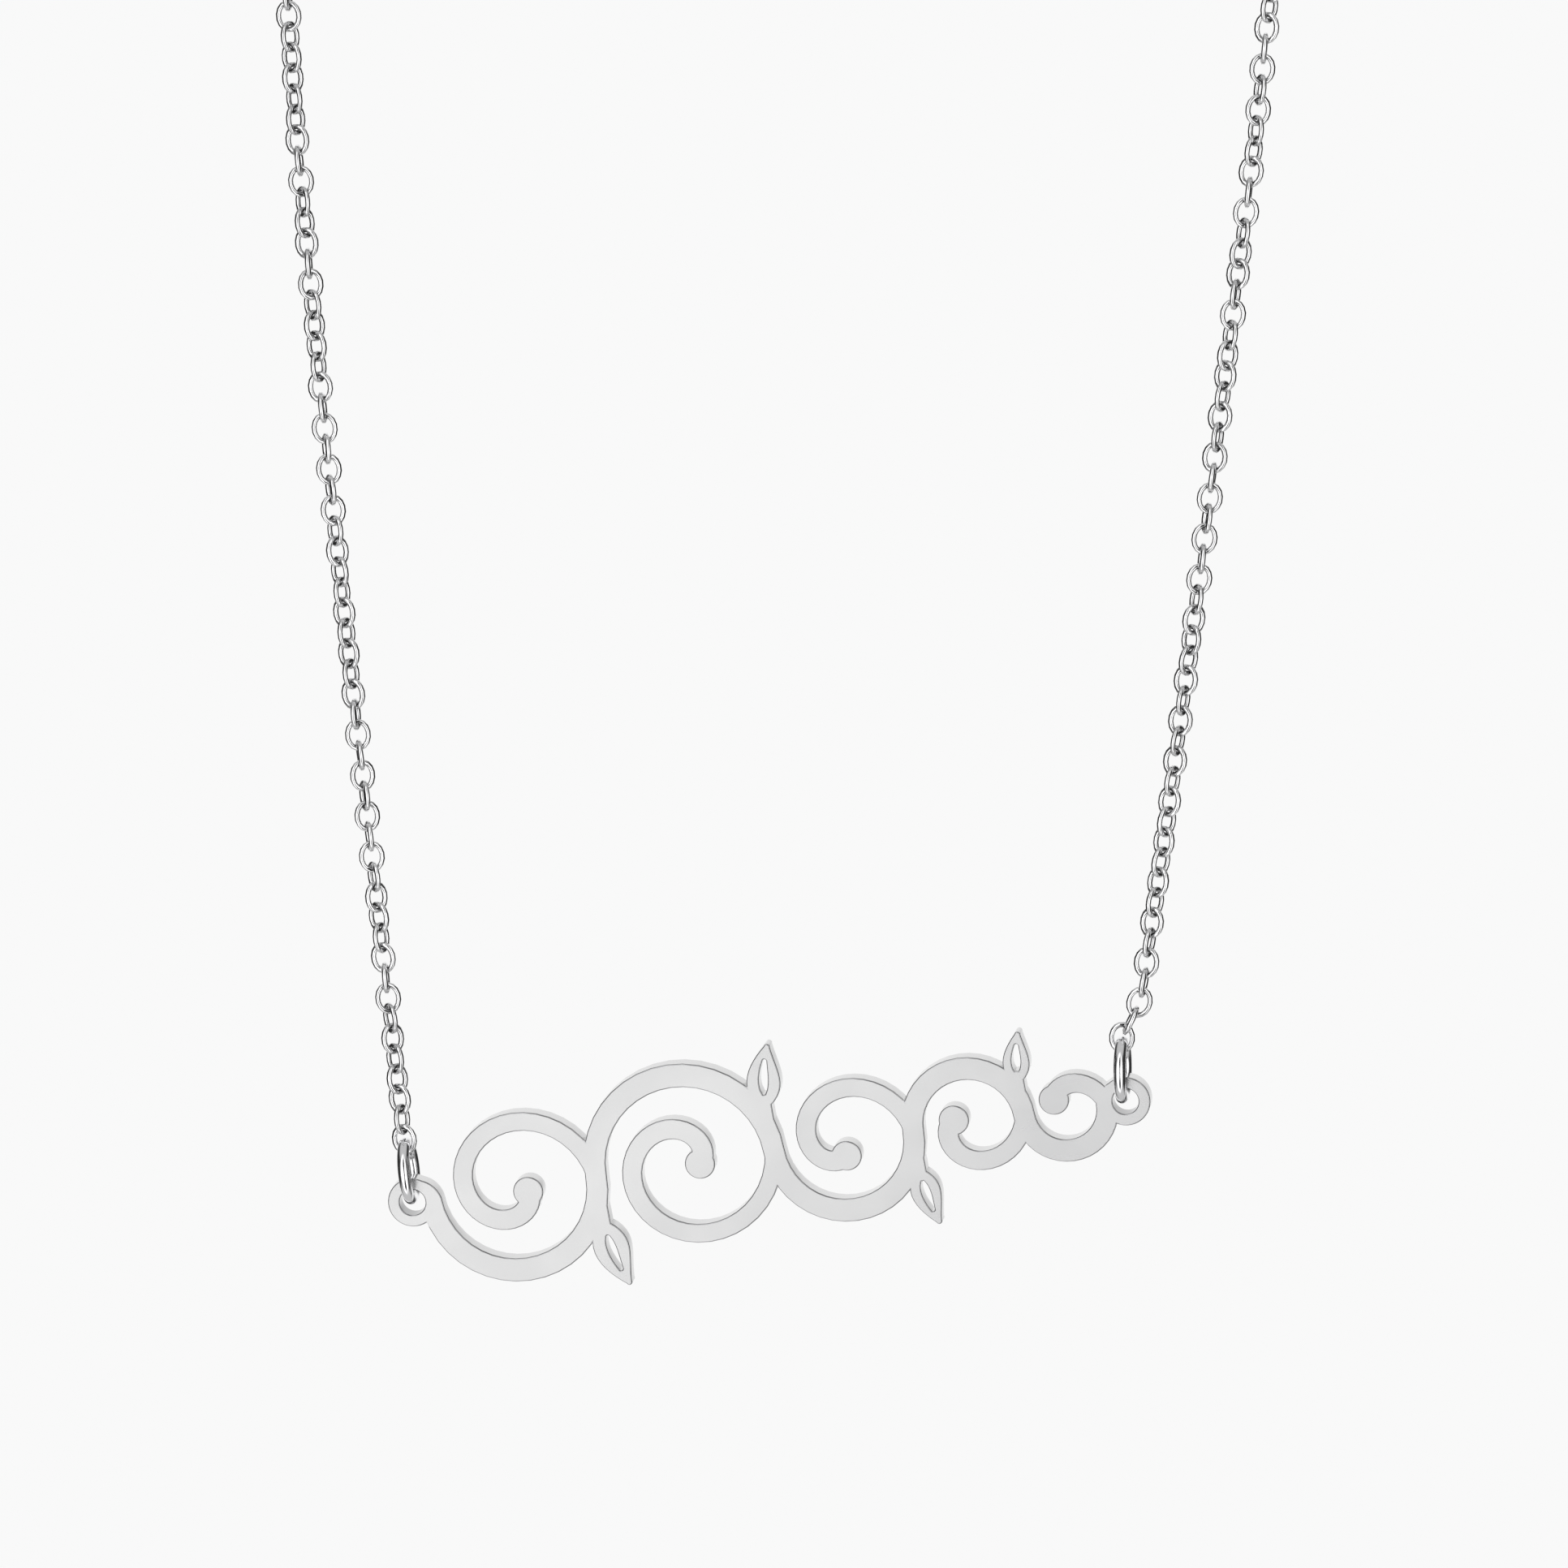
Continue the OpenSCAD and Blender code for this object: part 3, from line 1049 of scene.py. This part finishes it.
@dataclass
class Strand:
    """One strand of the cable chain, link through link from its jump ring to the clasp's eye.

    A beat sets how fast a small unevenness varies from link to link. The hidden links are those past the top
    of the photograph.
    """

    side: Side
    hang: Hanging
    link: Link
    clasp: Clasp
    seat_gap: float = 0.03
    steps: int = 24
    least_step: float = 0.02
    face_on: float = 7.5
    darkening: float = 0.05
    film_beat: float = 2.4
    lean: float = 1.8
    lean_beat: float = 1.7
    tip: float = 1.4
    tip_beat: float = 2.9
    hidden_from: int = 62
    hidden_fade: float = 10.0
    hidden_turn: float = 8.0
    hidden_beat: float = 2.1

    # How far apart the links' middles are
    pitches: ClassVar[dict[Side, float]] = {Side.LEFT: 1.0163, Side.RIGHT: 1.006}
    # Where a strand bends first, measured from its end over the ring
    bends: ClassVar[dict[Side, tuple]] = {Side.LEFT: (), Side.RIGHT: ((0.88, 0.15, 1.7), (1.4, 0.5, 5.5))}
    # The waypoints up the chest and round the neck, written as if on the right
    chest: ClassVar[dict[Side, tuple]] = {
        Side.LEFT: (
            (20.3, -54.5, -94.0), (22.0, -53.0, -80.0), (23.6, -51.0, -66.0), (25.2, -48.5, -52.0),
        ),
        Side.RIGHT: (
            (20.15, -54.5, -94.0), (21.75, -53.0, -80.0), (23.25, -51.0, -66.0), (24.9, -48.5, -52.0),
        ),
    }
    neck: ClassVar[tuple] = (
        (29.5, -42.5, -39.0), (36.0, -32.5, -29.0), (42.0, -18.5, -20.5), (45.0, -2.0, -14.0),
        (44.0, 15.0, -8.5), (37.5, 31.0, -4.0), (25.0, 42.5, -1.0), (13.0, 47.0, 0.0),
    )
    # What the links turn beyond the usual quarter turns, as the camera sees them: a link's number and its
    # turn in all, as the strand twists on its way
    twists: ClassVar[dict[Side, tuple]] = {
        Side.LEFT: (
            (0, -18), (1, -30), (2, -34), (3, -48), (5, -54), (6, -62), (7, -82), (8, -93), (9, -110),
            (10, -121), (11, -132), (12, -143), (13, -157), (14, -174), (16, -166), (18, -160), (19, -173),
            (20, -178), (21, -191), (22, -207), (24, -217), (27, -212), (28, -231), (30, -236), (31, -250),
            (34, -258), (35, -268), (36, -276), (37, -287), (38, -299), (39, -312), (41, -322), (42, -344),
            (43, -363), (44, -387), (45, -402), (46, -420), (47, -443), (48, -456), (49, -476), (50, -490),
            (51, -505), (52, -498), (54, -488), (55, -462), (62, -450),
        ),
        Side.RIGHT: (
            (0, 0), (2, -4), (3, -13), (5, -24), (7, -42), (11, -45), (12, -38), (14, -32), (16, -27),
            (18, -30), (19, -45), (20, -50), (21, -60), (22, -70), (23, -86), (25, -90), (26, -80), (27, -88),
            (28, -99), (29, -110), (31, -118), (33, -130), (34, -143), (35, -156), (36, -177), (37, -199),
            (38, -215), (39, -237), (40, -250), (41, -267), (42, -278), (43, -294), (44, -312), (45, -333),
            (46, -350), (47, -344), (48, -356), (49, -365), (50, -386), (51, -400), (62, -410),
        ),
    }

    def build(self, finish: bpy.types.Material) -> bpy.types.Object:
        """Copies the link along the strand and joins the copies.

        Args:
            finish: the chain's material.

        Returns:
            The finished strand.
        """
        pattern = self.link.build()
        places = self.places()
        copies = []
        for number, place in enumerate(places):
            mesh = pattern.data.copy()
            mesh.transform(place)
            self.tone_link(mesh, number)
            copy = bpy.data.objects.new("link", mesh)
            bpy.context.scene.collection.objects.link(copy)
            copies.append(copy)
        strand = join(copies, f"cable_chain_{self.side.word}")
        bpy.data.objects.remove(pattern)
        strand.data.materials.append(finish)
        settle(strand)
        seat(strand, Body.NECKLACE, Slot.CHAIN, f"chain_{self.side.word}")
        log.info("chain %s: %d links", self.side.word, len(places))
        return strand

    def tone_link(self, mesh: bpy.types.Mesh, number: int) -> None:
        """Gives each link a slightly different film, as links wear one by one.

        Args:
            mesh: the link's mesh.
            number: the link's number from the jump ring.
        """
        extra = self.darkening * (1.0 + math.sin(number * self.film_beat))
        for value in mesh.attributes["shelter"].data:
            value.value = min(1.0, value.value + extra)

    def waypoints(self) -> list[Vector]:
        """Lists the points that the strand's curve runs through, as the CAD source has them.

        Returns:
            The points, from the ring to the clasp's eye.
        """
        up = self.hang.ring_up(self.side)
        over_ring = self.hang.ring_r + self.hang.wire_r + self.hang.fit_gap
        start = self.hang.ring_centre(self.side) + over_ring * up
        end_x = self.clasp.eye_x + self.clasp.eye_r + self.clasp.eye_wire + self.hang.fit_gap
        bends = [start + Vector(bend) for bend in self.bends[self.side]]
        route = [Vector((self.side.value * x, y, z)) for x, y, z in self.chest[self.side] + self.neck]
        return [start, *bends, *route, Vector((self.side.value * end_x, self.clasp.nape_y, 0.0))]

    def line(self) -> list[Vector]:
        """Draws the strand's middle line through its waypoints.

        Returns:
            Points close together, from the first link's middle to the last one's.
        """
        pts = self.waypoints()
        up = self.hang.ring_up(self.side)
        low = self.hang.ring_r - self.hang.wire_r - self.link.wire_r - self.seat_gap + self.link.half_length
        line = [self.hang.ring_centre(self.side) + low * up]
        for i in range(len(pts) - 1):
            before, here, there, after = pts[max(i - 1, 0)], pts[i], pts[i + 1], pts[min(i + 2, len(pts) - 1)]
            for k in range(self.steps):
                t = k / self.steps
                line.append((
                    2 * here + (there - before) * t + (2 * before - 5 * here + 4 * there - after) * t**2
                    + (3 * here - before - 3 * there + after) * t**3
                ) / 2)
        inner = self.clasp.eye_x + self.clasp.eye_r - self.clasp.eye_wire
        last = inner - self.link.wire_r - self.seat_gap + self.link.half_length
        line += [pts[-1], Vector((self.side.value * last, self.clasp.nape_y, 0.0))]
        return self.in_order(line)

    def in_order(self, line: list[Vector]) -> list[Vector]:
        """Drops points that would double back at the strand's two ends.

        Args:
            line: the points in order along the strand.

        Returns:
            The points without those that step back.
        """
        kept = [line[0]]
        heading = (line[3] - line[2]).normalized()
        for point in line[1:-1]:
            step = point - kept[-1]
            if step.dot(heading) > self.least_step:
                heading = step.normalized()
                kept.append(point)
        while len(kept) > 2 and (line[-1] - kept[-1]).dot(heading) < self.least_step:
            kept.pop()
        return [*kept, line[-1]]

    def middles(self) -> list[Vector]:
        """Spaces the links evenly along the line.

        Returns:
            The links' middles.
        """
        line = self.line()
        runs = [0.0]
        for a, b in zip(line, line[1:]):
            runs.append(runs[-1] + (b - a).length)
        count = round(runs[-1] / self.pitches[self.side])
        middles, j = [], 0
        for n in range(count + 1):
            s = runs[-1] * n / count
            while j < len(runs) - 2 and runs[j + 1] < s:
                j += 1
            middles.append(line[j].lerp(line[j + 1], (s - runs[j]) / (runs[j + 1] - runs[j])))
        log.info("chain %s: length %.1f mm, pitch %.4f mm", self.side.word, runs[-1], runs[-1] / count)
        return middles

    def twist(self, number: int) -> float:
        """Reads a link's turn beyond the usual quarter turns from the table, or between two of its entries.

        Args:
            number: the link's number from the jump ring.

        Returns:
            The turn in degrees.
        """
        table = self.twists[self.side]
        for (start, low), (end, high) in zip(table, table[1:]):
            if start <= number <= end:
                return low + (high - low) * (number - start) / (end - start)
        return table[-1][1]

    def places(self) -> list[Matrix]:
        """Works out how each link lies: along the strand, about a quarter turn from its neighbours.

        Returns:
            The links' turns and places in millimetres.
        """
        middles = self.middles()
        last = len(middles) - 1
        ways = [(middles[min(n + 1, last)] - middles[max(n - 1, 0)]).normalized() for n in range(last + 1)]
        ways[0] = self.hang.ring_up(self.side)
        ways[last] = Vector((-self.side.value, 0.0, 0.0))
        outs, out = [], -BACK
        for way in ways:
            out = (out - out.dot(way) * way).normalized()
            outs.append(out)
        rolls = [90.0 * n + self.face_on + self.twist(n) + self.wobble(n) for n in range(last + 1)]
        self.end_flat(rolls, ways[last], outs[last])
        places = []
        for n, (middle, way, out) in enumerate(zip(middles, ways, outs)):
            facing = Matrix.Rotation(math.radians(rolls[n]), 3, way) @ out
            across = way.cross(facing)
            turn = Matrix((across, way, facing)).transposed().to_4x4()
            sway = self.sway(n) if 0 < n < last else Matrix.Identity(4)
            places.append(Matrix.Translation(middle) @ turn @ sway)
        return places

    def end_flat(self, rolls: list[float], way: Vector, out: Vector) -> None:
        """Spreads a small extra turn over the hidden links, so that the last one lies flat in its eye.

        Args:
            rolls: the links' turns in degrees, changed in place.
            way: the direction of the last link.
            out: the direction from which the last link's turn is measured.
        """
        wanted = math.degrees(math.atan2(way.dot(out.cross(UP)), out.dot(UP)))
        short = (wanted - rolls[-1] + 90.0) % 180.0 - 90.0
        span = len(rolls) - 1 - self.hidden_from
        for n in range(self.hidden_from, len(rolls)):
            rolls[n] += short * (n - self.hidden_from) / span

    def wobble(self, number: int) -> float:
        """Turns a hidden link a little out of the regular quarter turns.

        Args:
            number: the link's number from the jump ring.

        Returns:
            The turn in degrees.
        """
        hidden = min(1.0, max(0.0, (number - self.hidden_from) / self.hidden_fade))
        return self.hidden_turn * hidden * math.sin(number * self.hidden_beat + self.side.value)

    def sway(self, number: int) -> Matrix:
        """Leans a link slightly from the strand's line.

        Args:
            number: the link's number from the jump ring.

        Returns:
            The lean as a turn about the link's own middle.
        """
        lean = math.radians(self.lean * math.sin(number * self.lean_beat + self.side.value))
        tip = math.radians(self.tip * math.sin(number * self.tip_beat))
        return Matrix.Rotation(lean, 4, "Z") @ Matrix.Rotation(tip, 4, "X")


def main() -> None:
    """Builds the camera, the studio and the pieces in order."""
    logging.basicConfig(level=logging.INFO, format="%(name)s: %(message)s")
    bpy.context.scene.view_settings.view_transform = "Standard"
    PhotoCamera().build()
    Studio().build()
    hang, link, clasp = Hanging(), Link(), Clasp()
    ring_wire, chain_wire = RING_WIRE.material(), CHAIN_WIRE.material()
    Nameplate(hang).build()
    for side in Side:
        JumpRing(side, hang).build(ring_wire)
        Strand(side, hang, link, clasp).build(chain_wire)
    clasp.build(ring_wire)


if __name__ == "__main__":
    main()
